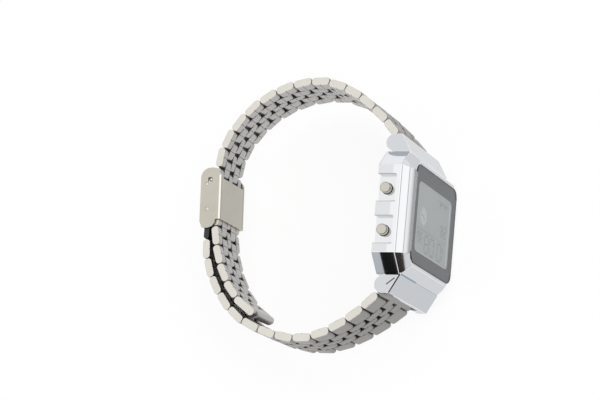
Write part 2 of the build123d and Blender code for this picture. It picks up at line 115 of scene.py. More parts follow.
class Shading:
    """The node tree of a material, of the studio or of a shape, built node by node."""

    def __init__(self, tree):
        self.tree = tree

    def node(self, kind, settings=None, values=None, output=0):
        made = self.tree.nodes.new(kind)
        for key, value in (settings or {}).items():
            setattr(made, key, value)
        for key, value in (values or {}).items():
            self.feed(made.inputs[key], value)
        return Wire(self, made.outputs[output])

    def feed(self, socket, value):
        for one in value if isinstance(value, list) else [value]:
            if isinstance(one, Wire):
                self.tree.links.new(one.socket, socket)
            else:
                socket.default_value = one

    def math(self, operation, *values):
        return self.node("ShaderNodeMath", {"operation": operation}, dict(enumerate(values)))

    def absolute(self, value):
        return self.math("ABSOLUTE", value)

    def vector_math(self, operation, first, second, output=0):
        values = {0: first, 1: second}
        return self.node("ShaderNodeVectorMath", {"operation": operation}, values, output)

    def scaled(self, place, scale):
        values = {0: place, "Scale": scale}
        return self.node("ShaderNodeVectorMath", {"operation": "SCALE"}, values)

    def axes(self, place):
        apart = self.node("ShaderNodeSeparateXYZ", {}, {0: place})
        return [apart.beside(axis) for axis in "XYZ"]

    def smooth(self, value, start, end, first=0.0, last=1.0):
        # Goes softly from the first level to the last while the value goes from start to end.
        limits = {0: value, 1: start, 2: end, 3: first, 4: last}
        return self.node("ShaderNodeMapRange", {"interpolation_type": "SMOOTHSTEP"}, limits)

    def drawn_out(self, place, scale):
        return self.node("ShaderNodeMapping", {}, {"Vector": place, "Scale": scale})

    def noise(self, place, scale, detail=3.0, rough=0.5):
        values = {"Vector": place, "Scale": scale, "Detail": detail, "Roughness": rough}
        return self.node("ShaderNodeTexNoise", {"noise_dimensions": "3D"}, values)

    def mix(self, share, first, second):
        values = {0: share, 6: first, 7: second}
        return self.node("ShaderNodeMix", {"data_type": "RGBA"}, values, output=2)

    def bump(self, height, strength, distance):
        values = {"Height": height, "Strength": strength, "Distance": distance}
        return self.node("ShaderNodeBump", {}, values)


class Finish(Shading):
    """A material of the watch. Its constants are set on the shader's own sockets."""

    def __init__(self, name, **constants):
        self.material = bpy.data.materials.new(name)
        self.material.use_nodes = True
        super().__init__(self.material.node_tree)
        self.shader = self.tree.nodes["Principled BSDF"]
        self.surface(**constants)
        self.place = self.node("ShaderNodeTexCoord", output="Object")

    def surface(self, **sockets):
        for socket, value in sockets.items():
            self.feed(self.shader.inputs[socket.replace("_", " ")], value)
        return self.material


def shade(colour, share):
    return (colour[0] * share, colour[1] * share, colour[2] * share, 1)


def bright_metal(name, colour, dull=0.05, haze=0.05, scratch=0.03, paint=None):
    # Polished metal: a clear mirror with a faint haze of handling and hairline scratches.
    finish = Finish(name, Metallic=1.0)
    haze_map = finish.noise(finish.place, 260.0, 4.0, 0.6)
    hairs = finish.noise(finish.drawn_out(finish.place, (900.0, 60.0, 9000.0)), 1.0, 2.0)
    colours = finish.mix(haze_map, shade(colour, 0.97), (*colour, 1))
    if paint:
        colours = paint(finish, colours)
    roughness = dull + haze * haze_map + 0.03 * hairs
    normal = finish.bump(hairs, scratch, 0.004 * MM)
    return finish.surface(Base_Color=colours, Roughness=roughness, Normal=normal)


def welded_copy(node, name):
    # A CAD node's mesh with its loose triangles joined and its flat faces made whole again.
    mesh = frame["nodes"][node].data.copy()
    mesh.name = name
    mesh.materials.clear()
    work = bmesh.new()
    work.from_mesh(mesh)
    bmesh.ops.remove_doubles(work, verts=work.verts, dist=WELD)
    bmesh.ops.dissolve_limit(work, angle_limit=radians(0.6), verts=work.verts, edges=work.edges)
    work.to_mesh(mesh)
    work.free()
    piece = bpy.data.objects.new(name, mesh)
    bpy.context.scene.collection.objects.link(piece)
    return piece


def round_edges(piece, width, steps=2, from_angle=30.0, edge_metal=None):
    for face in piece.data.polygons:
        face.use_smooth = True
    bevel = piece.modifiers.new("broken edges", "BEVEL")
    bevel.width = width
    bevel.segments = steps
    bevel.limit_method = "ANGLE"
    bevel.angle_limit = radians(from_angle)
    if edge_metal:
        bevel.material = 1
    weight = piece.modifiers.new("flat faces", "WEIGHTED_NORMAL")
    weight.keep_sharp = True
    return piece


def stand_for(piece, node, material, edge_metal=None):
    # Gives a finished piece its material and its body, and hides the CAD node that it stands for.
    piece.data.materials.append(material)
    if edge_metal:
        piece.data.materials.append(edge_metal)
    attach(piece, frame["nodes"][node]["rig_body"])
    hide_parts(node)
    return piece


# Painted light on the case: where it changes, and how far the sides, recesses and corner facet are
# paler
SIDE_FROM, SIDE_FADE, SIDE_HIGHLIGHT = 15.2 * MM, (-4.5 * MM, -3.9 * MM), 1.15
RECESS_TO, RECESS_HALF, RECESS_TOP, RECESS_HIGHLIGHT = 17.12 * MM, 8.5 * MM, -5.3 * MM, 1.08
HOOD_FROM = 14.7 * MM
CORNER_FROM, CORNER_SIDE, CORNER_TOP, CORNER_HIGHLIGHT = 10.7 * MM, 12.9 * MM, -6.3 * MM, 1.30

# Painted shade lines along the joins, recess walls and corners: two ends in mm, half a width and a
# colour
PAINTED_EDGE_SHADE = (
    ((-14.9, -6.55, 12.4), (-14.9, -6.55, 2.5), 0.22, (0.20, 0.27, 0.35)),
    ((-14.9, -6.55, 2.4), (-14.9, -6.55, -12.4), 0.16, (0.34, 0.40, 0.46)),
    ((-15.05, -6.3, 12.85), (-19.3, -3.95, 12.85), 0.20, (0.012, 0.012, 0.013)),
    ((-15.0, -6.2, 12.85), (-15.0, -2.8, 12.85), 0.13, (0.03, 0.03, 0.03)),
    ((-15.9, -5.0, 12.85), (-17.3, -3.2, 12.85), 0.20, (0.13, 0.12, 0.11)),
    ((-8.4, -0.5, 17.2), (-8.4, -5.0, 17.2), 0.10, (0.14, 0.14, 0.14)),
    ((-8.35, -4.3, 17.2), (-8.35, -5.1, 17.2), 0.20, (0.04, 0.04, 0.04)),
    ((1.75, -0.5, 17.2), (1.75, -5.0, 17.2), 0.10, (0.14, 0.14, 0.14)),
    ((1.8, -4.3, 17.2), (1.8, -5.1, 17.2), 0.20, (0.04, 0.04, 0.04)),
    ((-1.75, -0.5, 17.2), (-1.75, -4.9, 17.2), 0.09, (0.16, 0.16, 0.16)),
    ((8.4, -0.5, 17.2), (8.4, -4.9, 17.2), 0.09, (0.16, 0.16, 0.16)),
    ((-10.4, -6.38, 17.05), (10.4, -6.38, 17.05), 0.12, (0.36, 0.36, 0.38)),
    ((-10.2, -7.8, 15.63), (10.2, -7.8, 15.63), 0.12, (0.36, 0.36, 0.38)),
    ((15.0, -0.4, 12.8), (10.6, -0.4, 17.2), 0.12, (0.20, 0.20, 0.20)),
)
LINE_SOFT = (0.7, 1.1)


def near_line(finish, start, end, width):
    # 1 within a width of the line between two points, all in mm, and 0 away from it.
    along = (Vector(end) - Vector(start)) * MM
    away = finish.vector_math("SUBTRACT", finish.place, Vector(start) * MM)
    share = finish.vector_math("DOT_PRODUCT", away, along / along.length_squared, "Value")
    foot = finish.scaled(along, finish.node("ShaderNodeClamp", {}, {"Value": share}))
    gap = finish.vector_math("DISTANCE", away, foot, "Value")
    return finish.smooth(gap, *(share * width * MM for share in LINE_SOFT), 1.0, 0.0)


# Mixes the painted shade lines of the joins and corners into a colour
def paint_edge_shade(finish, colours):
    for start, end, width, line_colour in PAINTED_EDGE_SHADE:
        colours = finish.mix(near_line(finish, start, end, width), colours, (*line_colour, 1))
    return colours


def paint_case_light(finish, colours):
    # Painted light: paler sides, recesses and corner facet, shaded hoods, and shade lines along the
    # joins.
    x, y, z = finish.axes(finish.place)
    along = finish.absolute(x)
    across = finish.absolute(z)
    high = finish.smooth(y, *SIDE_FADE, 1.0, 0.0)
    at_side = across > SIDE_FROM
    on_side = at_side * high * (y > -CROWN_RISE)
    colours = finish.mix(on_side, colours, shade(CASE_COLOUR, SIDE_HIGHLIGHT))
    in_recess = at_side * (across < RECESS_TO) * (y > RECESS_TOP) * (along < RECESS_HALF)
    colours = finish.mix(in_recess, colours, shade(CASE_COLOUR, RECESS_HIGHLIGHT))
    colours = finish.mix(along > HOOD_FROM, colours, (*HOOD_SHADE_COLOUR, 1))
    near_6 = (x > CORNER_FROM) * (z > CORNER_SIDE) * (y > CORNER_TOP)
    colours = finish.mix(near_6, colours, shade(CASE_COLOUR, CORNER_HIGHLIGHT))
    return paint_edge_shade(finish, colours)


plated = bright_metal("plated_case", CASE_COLOUR, 0.02, 0.03, paint=paint_case_light)
# The broken edges get a paler copy of the plating: a painted highlight, with the same shade lines
edge_highlight_plating = bright_metal("plated_edges", (0.86, 0.87, 0.88), 0.03, 0.03, paint=paint_edge_shade)
case_shell = welded_copy("case", "case_shell")

# The bezel's slopes along both sides are crowned: each is cut in two and pushed out along the cut
crowned = bmesh.new()
crowned.from_mesh(case_shell.data)
parts = {}
for face in crowned.faces:
    if abs(face.normal.z) > 0.5 and face.normal.y < -0.5:
        parts.update(dict.fromkeys((face, *face.edges, *face.verts)))
cut_at = {"plane_co": (0, -CROWN_RISE, 0), "plane_no": (0, 1, 0)}
halved = bmesh.ops.bisect_plane(crowned, geom=list(parts), **cut_at)
for item in halved["geom_cut"]:
    if isinstance(item, bmesh.types.BMVert):
        item.co += Vector((0, -CROWN_STEP, CROWN_STEP if item.co.z > 0 else -CROWN_STEP))
crowned.to_mesh(case_shell.data)
crowned.free()
round_edges(case_shell, CASE_EDGE, 3, 20.0, edge_highlight_plating)
stand_for(case_shell, "case", plated, edge_highlight_plating)

# GLASS, PRINTED FRAME AND DISPLAY
# A flat mineral glass is bonded into the case, with a flange on the bezel and a ground edge. A dark
# grey frame is printed on its underside, with a pale line round the window, and behind the window
# is a reflective liquid-crystal panel.
FACE_RISE = 8.905 * MM
FLANGE = 0.26 * MM
FLANGE_SIZE = (24.0 * MM, 28.0 * MM)
FLANGE_CORNER = 2.4 * MM
GLASS_BEVEL = 0.12 * MM
GLASS_CORNER = 2.95 * MM
CORNER_DARK = (9.3 * MM, 9.9 * MM)
DISPLAY_RISE = 8.95 * MM
WINDOW = (16.5 * MM, 22.4 * MM, 1.2 * MM)
WINDOW_CENTRE = (-0.35 * MM, 0.3 * MM)
BORDER = 0.22 * MM
BORDER_RAISE = 0.02 * MM
MASK_LEVELS = (FACE_RISE + 0.02 * MM, DISPLAY_RISE + 0.03 * MM)
MASK_OUTLINE = (FLANGE_SIZE[0] - 0.3 * MM, FLANGE_SIZE[1] - 1.0 * MM, FLANGE_CORNER)
MASK_CENTRE = (0.0, 0.35 * MM)
GLASS_MIRROR = 0.62
DIGIT_RISE = 0.02 * MM


def rounded_stack(levels, ring, centre=(0.0, 0.0), corners=8):
    # A body drawn through rounded rectangles parallel to the face: a closed ring or a capped slab.
    work = bmesh.new()
    loops = []
    for length, width, corner, rise in levels:
        points = []
        for quarter, (sx, sz) in enumerate(((1, 1), (-1, 1), (-1, -1), (1, -1))):
            for step in range(corners + 1):
                angle = radians(90 * (quarter + step / corners))
                x = sx * (length / 2 - corner) + corner * cos(angle)
                z = sz * (width / 2 - corner) + corner * sin(angle)
                points.append(work.verts.new((centre[0] + x, -rise, centre[1] + z)))
        loops.append(points)
    pairs = list(zip(loops, loops[1:])) + ([(loops[-1], loops[0])] if ring else [])
    for first, second in pairs:
        for index in range(len(first)):
            after = (index + 1) % len(first)
            work.faces.new((first[index], first[after], second[after], second[index]))
    if not ring:
        work.faces.new(loops[0])
        work.faces.new(loops[-1])
    bmesh.ops.recalc_face_normals(work, faces=work.faces)
    return work


def new_piece(name, work, material, body):
    # Turns finished mesh work into a piece that rides on a body.
    mesh = bpy.data.meshes.new(name)
    work.to_mesh(mesh)
    work.free()
    mesh.materials.append(material)
    piece = bpy.data.objects.new(name, mesh)
    bpy.context.scene.collection.objects.link(piece)
    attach(piece, body)
    return piece


def grained(name, first, second, scale, detail, roughness, gain=0.0, **constants):
    # A surface whose fine grain varies its colour and, where asked, its gloss.
    finish = Finish(name, **constants)
    grain = finish.noise(finish.place, scale, detail)
    gloss = roughness + gain * grain if gain else roughness
    finish.surface(Base_Color=finish.mix(grain, (*first, 1), (*second, 1)), Roughness=gloss)
    return finish


def dress(node, material):
    # Gives a CAD node's own mesh its material.
    materials = frame["nodes"][node].data.materials
    materials.clear()
    materials.append(material)


face_body = frame["nodes"]["case"]["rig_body"]
clear = Finish("mineral_glass", Base_Color=(1, 1, 1, 1), Roughness=0.02, IOR=1.5)
see_through = clear.node("ShaderNodeBsdfTransparent", {}, {"Color": (0.93, 0.95, 0.96, 1)})
mirror = clear.node("ShaderNodeBsdfGlossy", {}, {"Color": (1, 1, 1, 1), "Roughness": 0.03})
leaving = clear.node("ShaderNodeNewGeometry", output="Backfacing")
entering = GLASS_MIRROR - GLASS_MIRROR * leaving
edge_gain = clear.node("ShaderNodeFresnel", {}, {"IOR": 1.5}) * entering
glass_mix = clear.node("ShaderNodeMixShader", {}, {0: edge_gain, 1: see_through, 2: mirror})
clear.feed(clear.tree.nodes["Material Output"].inputs["Surface"], glass_mix)
clear.tree.nodes.remove(clear.shader)

ground = Finish("ground_edge", IOR=1.5)
ground_grain = ground.noise(ground.place, 2600.0, 2.0)
off_middle = ground.absolute(ground.axes(ground.place)[0])
corner_share = ground.smooth(off_middle, *CORNER_DARK)
ground_grey = ground.mix(ground_grain, (0.34, 0.35, 0.37, 1), (0.44, 0.45, 0.47, 1))
# Seen from inside the glass the ground edge is painted darker, as painted shade; towards both ends
# it turns almost black
inner_side = ground.node("ShaderNodeNewGeometry", output="Backfacing")
ground_grey = ground.mix(inner_side, ground_grey, (0.14, 0.143, 0.15, 1))
ground_grey = ground.mix(corner_share, ground_grey, (0.02, 0.02, 0.022, 1))
ground.surface(Base_Color=ground_grey, Roughness=0.25 + 0.15 * ground_grain)

glass_low, glass_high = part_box("crystal")
pane_size = (glass_high.x - glass_low.x, glass_high.z - glass_low.z)
pane_top = FACE_RISE + FLANGE
top_size = [size - 2 * GLASS_BEVEL for size in FLANGE_SIZE]
pane = rounded_stack([
    (*pane_size, GLASS_CORNER, -glass_high.y), (*pane_size, GLASS_CORNER, FACE_RISE),
    (*FLANGE_SIZE, FLANGE_CORNER, FACE_RISE),
    (*FLANGE_SIZE, FLANGE_CORNER, pane_top - GLASS_BEVEL),
    (*top_size, FLANGE_CORNER - GLASS_BEVEL, pane_top),
], ring=False)
glass_pane = new_piece("glass_pane", pane, clear.material, face_body)
glass_pane.data.materials.append(ground.material)
for face in glass_pane.data.polygons:
    if len(face.vertices) == 4:
        face.material_index = 1
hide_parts("crystal")

printed = grained(
    "printed_frame", (0.034, 0.036, 0.039), (0.046, 0.048, 0.051), 5000.0, 2.0, 0.45, 0.1, IOR=1.45
)
dress("dial_frame", printed.material)


def open_walls(shape, centre):
    # The side walls of the printed layer round one outline, without its two faces.
    work = rounded_stack([(*shape, level) for level in MASK_LEVELS], ring=False, centre=centre)
    capping = [face for face in work.faces if len(face.verts) > 4]
    bmesh.ops.delete(work, geom=capping, context="FACES")
    return work


mask_work = open_walls(MASK_OUTLINE, MASK_CENTRE)
hole = open_walls(WINDOW, WINDOW_CENTRE)
hole_mesh = bpy.data.meshes.new("hole")
hole.to_mesh(hole_mesh)
hole.free()
mask_work.from_mesh(hole_mesh)
bpy.data.meshes.remove(hole_mesh)
for level in MASK_LEVELS:
    rims = [
        edge for edge in mask_work.edges
        if all(abs(vert.co.y + level) < 1e-7 for vert in edge.verts)
    ]
    bmesh.ops.triangle_fill(mask_work, edges=rims, use_beauty=True)
bmesh.ops.recalc_face_normals(mask_work, faces=mask_work.faces)
new_piece("printed_mask", mask_work, printed.material, face_body)

pale = grained("pale_border", (0.44, 0.45, 0.45), (0.52, 0.53, 0.53), 3000.0, 2.0, 0.4)
border = rounded_stack([
    (WINDOW[0] + 2 * out, WINDOW[1] + 2 * out, WINDOW[2] + out, MASK_LEVELS[1] + up)
    for out, up in ((BORDER, 0.0), (BORDER, BORDER_RAISE), (0.0, BORDER_RAISE), (0.0, 0.0))
], ring=True, centre=WINDOW_CENTRE)
new_piece("window_border", border, pale.material, face_body)

panel = Finish("display_panel", IOR=1.5)
cell = panel.noise(panel.place, 90.0, 2.0)
fine = panel.noise(panel.place, 9000.0, 1.0)
panel.surface(
    Base_Color=panel.mix(cell, (0.32, 0.335, 0.332, 1), (0.385, 0.402, 0.395, 1)),
    Roughness=0.30 + 0.1 * fine,
)
dress("lcd_panel", panel.material)
plate_levels = [(*WINDOW, FACE_RISE + 0.01 * MM), (*WINDOW, DISPLAY_RISE)]
face_plate = rounded_stack(plate_levels, ring=False, centre=WINDOW_CENTRE)
new_piece("display_face", face_plate, panel.material, face_body)

# Segments of the display: plain digits, a divider, a row of bars and a round second dial
SEGMENT_LIT = {
    "0": "abcdef", "1": "bc", "2": "abged", "3": "abgcd", "4": "fgbc",
    "5": "afgcd", "6": "afgedc", "7": "abc", "8": "abcdefg", "9": "abfgcd",
}


def bar_on_face(work, start, end, width, rise, thick):
    # A thin bar with pointed ends between two places on the face, given as (x, z).
    along = Vector((end[0] - start[0], end[1] - start[1]))
    unit = along.normalized()
    side = Vector((-unit.y, unit.x)) * width / 2
    tip = unit * width / 2
    first, last = Vector(start), Vector(end)
    corners = [
        first, first + tip + side, last - tip + side, last, last - tip - side, first + tip - side,
    ]
    lower = [work.verts.new((p.x, -rise, p.y)) for p in corners]
    upper = [work.verts.new((p.x, -rise - thick, p.y)) for p in corners]
    work.faces.new(lower)
    work.faces.new(upper)
    for index in range(6):
        after = (index + 1) % 6
        work.faces.new((lower[index], lower[after], upper[after], upper[index]))


def digit(work, text, top, left, height, width, thick_line):
    # One seven-segment numeral; reading runs along +Z and its top is towards -X.
    bottom, right, middle = top + height, left + width, top + height / 2
    gap = thick_line * 0.35
    ends = {
        "a": ((top, left + gap), (top, right - gap)),
        "b": ((top + gap, right), (middle - gap, right)),
        "c": ((middle + gap, right), (bottom - gap, right)),
        "d": ((bottom, left + gap), (bottom, right - gap)),
        "e": ((middle + gap, left), (bottom - gap, left)),
        "f": ((top + gap, left), (middle - gap, left)),
        "g": ((middle, left + gap), (middle, right - gap)),
    }
    for segment in SEGMENT_LIT[text]:
        bar_on_face(work, *ends[segment], thick_line, DISPLAY_RISE, DIGIT_RISE)


DIVIDER = -3.0 * MM
DISC = (0.3 * MM, 7.3 * MM)
DISC_RADIUS = 2.2 * MM

segments = bmesh.new()
for text, left, top, height, width in (
    ("1", -9.8, -7.9, 4.1, 2.6), ("0", -6.1, -7.9, 4.1, 2.6),
    ("0", -1.1, -7.9, 4.1, 2.6), ("8", 2.7, -7.9, 4.1, 2.6),
    ("3", 7.0, -6.3, 2.5, 1.2), ("6", 9.0, -6.3, 2.5, 1.2),
    ("2", -8.6, -1.6, 2.6, 1.4), ("8", -6.4, -1.6, 2.6, 1.4),
):
    digit(segments, text, top * MM, left * MM, height * MM, width * MM, 0.4 * MM)
divider_ends = (DIVIDER, -9.0 * MM), (DIVIDER, 10.8 * MM)
bar_on_face(segments, *divider_ends, 0.14 * MM, DISPLAY_RISE, DIGIT_RISE)


def on_disc(angle, reach):
    # A place on the second dial, at a share of its radius.
    spread = DISC_RADIUS * reach
    return (DISC[0] + spread * cos(angle), DISC[1] + spread * sin(angle))


hand_rise = DISPLAY_RISE + DIGIT_RISE
for hour in range(12):
    angle = 2 * pi * hour / 12
    ends = on_disc(angle, 0.80), on_disc(angle, 0.96)
    bar_on_face(segments, *ends, 0.12 * MM, hand_rise, DIGIT_RISE)
for angle_deg, reach, width in ((215.0, 0.5, 0.26), (80.0, 0.72, 0.2)):
    end = on_disc(radians(angle_deg), reach)
    bar_on_face(segments, DISC, end, width * MM, hand_rise, DIGIT_RISE)
for index in range(10):
    left = (-9.0 + 0.8 * index) * MM
    ends = (6.6 * MM, left), ((6.6 - 0.35 * (1 + index % 4)) * MM, left)
    bar_on_face(segments, *ends, 0.36 * MM, DISPLAY_RISE, DIGIT_RISE)
bmesh.ops.recalc_face_normals(segments, faces=segments.faces)
ink = grained("display_segments", (0.19, 0.20, 0.20), (0.23, 0.24, 0.24), 6000.0, 1.0, 0.35)
new_piece("display_segments", segments, ink.material, face_body)

disc = bmesh.new()
bmesh.ops.create_circle(disc, cap_ends=True, segments=48, radius=DISC_RADIUS)
for vertex in disc.verts:
    vertex.co = Vector((DISC[0] + vertex.co.x, -DISPLAY_RISE, DISC[1] + vertex.co.y))
strip = ((-8.0, -10.7), (7.3, -10.7), (7.3, -9.9), (-8.0, -9.9))
disc.faces.new([disc.verts.new((x * MM, -DISPLAY_RISE, z * MM)) for x, z in strip])
lifted = bmesh.ops.extrude_face_region(disc, geom=disc.faces[:])
for item in lifted["geom"]:
    if isinstance(item, bmesh.types.BMVert):
        item.co.y -= DIGIT_RISE
bmesh.ops.recalc_face_normals(disc, faces=disc.faces)
disc_paint = grained(
    "display_disc", (0.47, 0.49, 0.485), (0.54, 0.56, 0.555), 4000.0, 1.0, 0.35
)
new_piece("display_disc", disc, disc_paint.material, face_body)

# WORKS
# Hidden under the dial: a pale light panel behind the display, a moulded tray, a green circuit
# board, a coin cell, the sprung strip that holds the cell down, and the back's rubber gasket.


def plain_finish(name, colour, roughness, grain_scale, metallic=0.0, depth=0.2):
    # A plain surface with a fine grain in its colour and its gloss.
    finish = Finish(name, Metallic=metallic)
    speckle = finish.noise(finish.place, grain_scale, 3.0)
    return finish.surface(
        Base_Color=finish.mix(speckle, shade(colour, 0.88), shade(colour, 1.08)),
        Roughness=roughness + 0.12 * speckle,
        Normal=finish.bump(speckle, depth, 0.004 * MM),
    )


for node, colour, roughness, grain_scale, metallic in (
    ("light_panel", (0.75, 0.76, 0.70), 0.5, 2000.0, 0.0),
    ("module_frame", (0.05, 0.05, 0.055), 0.45, 2500.0, 0.0),
    ("circuit_board", (0.02, 0.12, 0.05), 0.35, 900.0, 0.0),
    ("battery", (0.62, 0.61, 0.58), 0.28, 1800.0, 1.0),
    ("battery_clamp", (0.60, 0.59, 0.56), 0.30, 3000.0, 1.0),
    ("back_gasket", (0.012, 0.012, 0.013), 0.7, 3000.0, 0.0),
):
    dress(node, plain_finish(node + "_finish", colour, roughness, grain_scale, metallic))

# CASE BACK AND ITS SCREWS
# A stamped plate of stainless steel, brushed straight across, is held by a small screw in each
# corner, with a cross slot in a domed head.
BACK_EDGE = 0.12 * MM
SCREW_INSET = 1.75 * MM
SCREW_RADIUS = 0.85 * MM
SCREW_DOME = 0.28 * MM
SCREW_SLOT = 0.22 * MM
SCREW_SINK = 0.12 * MM

_, back_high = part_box("case_back")
brushed = Finish("brushed_back", Metallic=1.0)
strokes = brushed.noise(brushed.drawn_out(brushed.place, (8000.0, 1.0, 120.0)), 1.0, 2.0)
patches = brushed.noise(brushed.place, 180.0, 3.0)
brushed.surface(
    Base_Color=brushed.mix(patches, (0.56, 0.55, 0.53, 1), (0.64, 0.63, 0.61, 1)),
    Roughness=0.26 + 0.16 * strokes,
    Normal=brushed.bump(strokes, 0.25, 0.004 * MM),
)
back_plate = round_edges(welded_copy("case_back", "back_plate"), BACK_EDGE)
stand_for(back_plate, "case_back", brushed.material)


class Tree(Shading):
    """A Geometry Nodes tree that is built node by node, with named inputs."""

    def __init__(self, name, sizes):
        super().__init__(bpy.data.node_groups.new(name, "GeometryNodeTree"))
        sockets = self.tree.interface
        sockets.new_socket("Geometry", in_out="OUTPUT", socket_type="NodeSocketGeometry")
        self.names = {}
        for size, value in sizes.items():
            kind = "NodeSocketVector" if isinstance(value, tuple) else "NodeSocketFloat"
            socket = sockets.new_socket(size, in_out="INPUT", socket_type=kind)
            socket.default_value = value
            self.names[size] = socket.identifier
        start = self.tree.nodes.new("NodeGroupInput")
        self.sizes = [Wire(self, start.outputs[size]) for size in sizes]
        self.end = self.tree.nodes.new("NodeGroupOutput").inputs["Geometry"]

    def vector(self, x=0.0, y=0.0, z=0.0):
        return self.node("ShaderNodeCombineXYZ", {}, {0: x, 1: y, 2: z})

    def moved(self, geometry, **how):
        return self.node("GeometryNodeTransform", {}, {"Geometry": geometry, **how}, "Geometry")

    def joined(self, *parts):
        return self.node("GeometryNodeJoinGeometry", {}, {"Geometry": list(parts)}, "Geometry")

    def flipped(self, mesh):
        return self.node("GeometryNodeFlipFaces", {}, {"Mesh": mesh}, "Mesh")

    def painted(self, geometry, material, chosen=True):
        values = {"Geometry": geometry, "Selection": chosen, "Material": material}
        return self.node("GeometryNodeSetMaterial", {}, values, "Geometry")

    def cut(self, solid, cutters):
        settings = {"operation": "DIFFERENCE", "solver": "EXACT"}
        values = {"Mesh 1": solid, "Mesh 2": cutters}
        return self.node("GeometryNodeMeshBoolean", settings, values, "Mesh")

    def finish(self, geometry, material, chosen=True):
        # Ends a tree by making its geometry real and giving it its material.
        realized = self.node("GeometryNodeRealizeInstances", {}, {"Geometry": geometry})
        self.feed(self.end, self.painted(realized, material, chosen))
        return self


def grown(tree, name, sizes):
    # The mesh that a tree grows for one set of sizes, as a plain mesh.
    holder = bpy.data.objects.new(name, bpy.data.meshes.new(name))
    bpy.context.scene.collection.objects.link(holder)
    modifier = holder.modifiers.new("grown", "NODES")
    modifier.node_group = tree.tree
    for size, value in sizes.items():
        modifier[tree.names[size]] = value
    bpy.context.view_layer.update()
    graph = bpy.context.evaluated_depsgraph_get()
    mesh = bpy.data.meshes.new_from_object(holder.evaluated_get(graph), depsgraph=graph)
    mesh.name = name
    holder.modifiers.remove(modifier)
    holder.data = mesh
    return holder


def smooth_within(piece, angle):
    # Smooths the faces that meet at less than an angle, and keeps the sharper edges.
    for face in piece.data.polygons:
        face.use_smooth = True
    piece.data.set_sharp_from_angle(angle=radians(angle))


# Screw heads, grown from one tree and placed in the back's corners
screw_tree = Tree("screw_head", {
    "Radius": SCREW_RADIUS, "Dome": SCREW_DOME, "Slot": SCREW_SLOT, "Sink": SCREW_SINK,
})
radius, dome_height, slot, sink = screw_tree.sizes
ball_sizes = {"Segments": 32, "Rings": 12, "Radius": radius}
ball = screw_tree.node("GeometryNodeMeshUVSphere", {}, ball_sizes, "Mesh")
head = screw_tree.moved(ball, Scale=screw_tree.vector(1.0, 1.0, dome_height / radius))
reach, deep = radius * 1.25, sink * 2.0
cutters = []
for spans in ((reach, slot, deep), (slot, reach, deep)):
    bar = screw_tree.node("GeometryNodeMeshCube", {}, {"Size": screw_tree.vector(*spans)}, "Mesh")
    cutters.append(screw_tree.moved(bar, Translation=screw_tree.vector(z=dome_height)))
screw_steel = bright_metal("screw_steel", (0.70, 0.69, 0.67), 0.18, 0.12, 0.1)
screw_tree.finish(screw_tree.cut(head, cutters), screw_steel)
for number, (sx, sz) in enumerate(((1, 1), (1, -1), (-1, -1), (-1, 1)), 1):
    screw = grown(screw_tree, f"back_screw_{number}", {})
    along, across = sx * (back_high.x - SCREW_INSET), sz * (back_high.z - SCREW_INSET)
    turned = Matrix.Rotation(radians(17.0 + 61.0 * number), 4, "Y")
    outwards = Matrix.Rotation(radians(-90), 4, "X")
    screw.data.transform(Matrix.Translation((along, back_high.y, across)) @ turned @ outwards)
    smooth_within(screw, 35)
    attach(screw, frame["nodes"]["case_back"]["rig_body"])

# PUSH BUTTONS
# Four turned steel buttons, polished on the end, each held in by a clip on its stem and pushed
# out by a spring. The edge of each cap has a fine turned bevel.
BUTTON_EDGE = 0.10 * MM
button_metal = bright_metal("button_steel", (0.50, 0.475, 0.43), 0.14, 0.06, 0.05)
for node in ("button_upper_right", "button_lower_right", "button_upper_left", "button_lower_left"):
    turned_cap = round_edges(welded_copy(node, node + "_turned"), BUTTON_EDGE)
    stand_for(turned_cap, node, button_metal)

# SPRING BARS
# Thin tubes of steel with a sprung, stepped tip at each end. The tips snap into holes in the lugs,
# and the band's end links turn on the tubes.
for node in ("spring_bar_6", "spring_bar_12"):
    dress(node, plain_finish(node + "_finish", (0.55, 0.54, 0.52), 0.30, 2500.0, 1.0))

# BAND LINKS
# Each link is five pieces of folded steel strip on two pins: two outer ones and a middle one, with
# two inner ones between them that reach on to the next link. The faces are brushed along the band
# and the outer ends polished, and a seam crosses each piece on the wrist side.
PITCH = 5.0 * MM
REACH = 1.1 * MM
LINK_THICK = 2.0 * MM
LINK_ROUND = 0.88 * MM
LINK_EDGE = 0.26 * MM
END_MORE = 0.12 * MM
CENTRE_WIDTH = 2.1 * MM
INNER_WIDTH = 2.9 * MM
ROW_GAP = 0.08 * MM
PIN_RADIUS = 0.4 * MM
PIN_PLAY = 0.05 * MM
CUT_OVER = 0.05 * MM
SEAM = 0.11 * MM
SEAM_DEPTH = 0.22 * MM
BAR_RADIUS = 1.15 * MM
BAR_OVER = 0.38 * MM
BAR_HELD = 0.4 * BAR_RADIUS
BAR_ROUND = 0.999 * BAR_RADIUS
BAR_EDGE = 0.35 * MM
LAY_SHIFT = 37.0
WIDE_HALF = 10.2 * MM
NARROW_HALF = 6.15 * MM
LINKS = 13
TAPER = 1.6
LOOP_MIDDLE = (0.0, 26 * MM, 0.0)
END_FACING, ROW_FACING, SIDE_FACING = 0.99, 0.9, 0.35
SIDE_LEVEL = 0.62
ROW_SHADE = 0.4 * MM


def brushing(finish, stretch):
    # Brush lines that follow each link, from the place that is kept on its mesh.
    lay = finish.node("ShaderNodeAttribute", {"attribute_name": "lay"}, output="Vector")
    return finish.noise(finish.drawn_out(lay, stretch), 1.0, 3.0, 0.6)


satin = Finish("satin_links", Metallic=1.0)
tint = satin.node("ShaderNodeAttribute", {"attribute_name": "tint"}, output="Fac")
lines = brushing(satin, (0.35, 26.0, 26.0))
cloud = satin.noise(satin.place, 320.0, 3.0)
pale_steel = satin.mix(cloud, (0.455, 0.447, 0.434, 1), (0.52, 0.51, 0.494, 1))
pale_steel = satin.mix(0.5 * tint, pale_steel, (0.42, 0.412, 0.40, 1))
